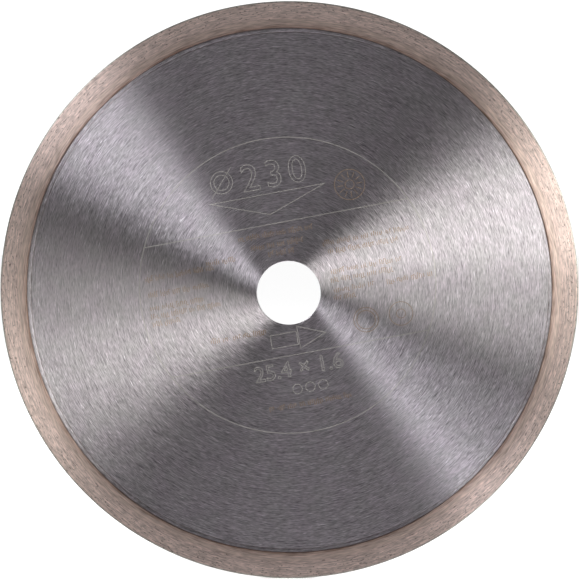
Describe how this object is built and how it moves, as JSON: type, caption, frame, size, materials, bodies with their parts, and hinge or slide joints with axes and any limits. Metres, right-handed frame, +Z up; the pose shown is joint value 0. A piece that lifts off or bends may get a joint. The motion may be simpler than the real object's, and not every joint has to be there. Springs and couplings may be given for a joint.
{
  "type": "diamond blade",
  "caption": "Upright continuous-rim diamond cutting disc with a round arbor bore, for wet cutting of ceramic tile and stone.",
  "frame": {"origin": "centre of the arbor bore, on the mid-plane of the disc", "axes": "+Y along the bore's axis, the disc upright in XZ; the marked face looks along -Y, +Z up"},
  "size_m": [0.23, 0.0018, 0.23],
  "materials": {
    "blank_steel": "flat ground with fine concentric grinding lines",
    "plain_bond": "sintered bronze-cobalt bond, side ground, satin",
    "diamond_bond": "sintered bronze-cobalt bond, side ground, finely pitted",
    "diamond_crystal": "yellow-green synthetic diamond, faceted"
  },
  "bodies": {
    "root": {"steel_core": "blank_steel", "rim_backing_ring": "plain_bond", "diamond_rim": "diamond_bond", "diamond_grit": "diamond_crystal"}
  },
  "joints": []
}
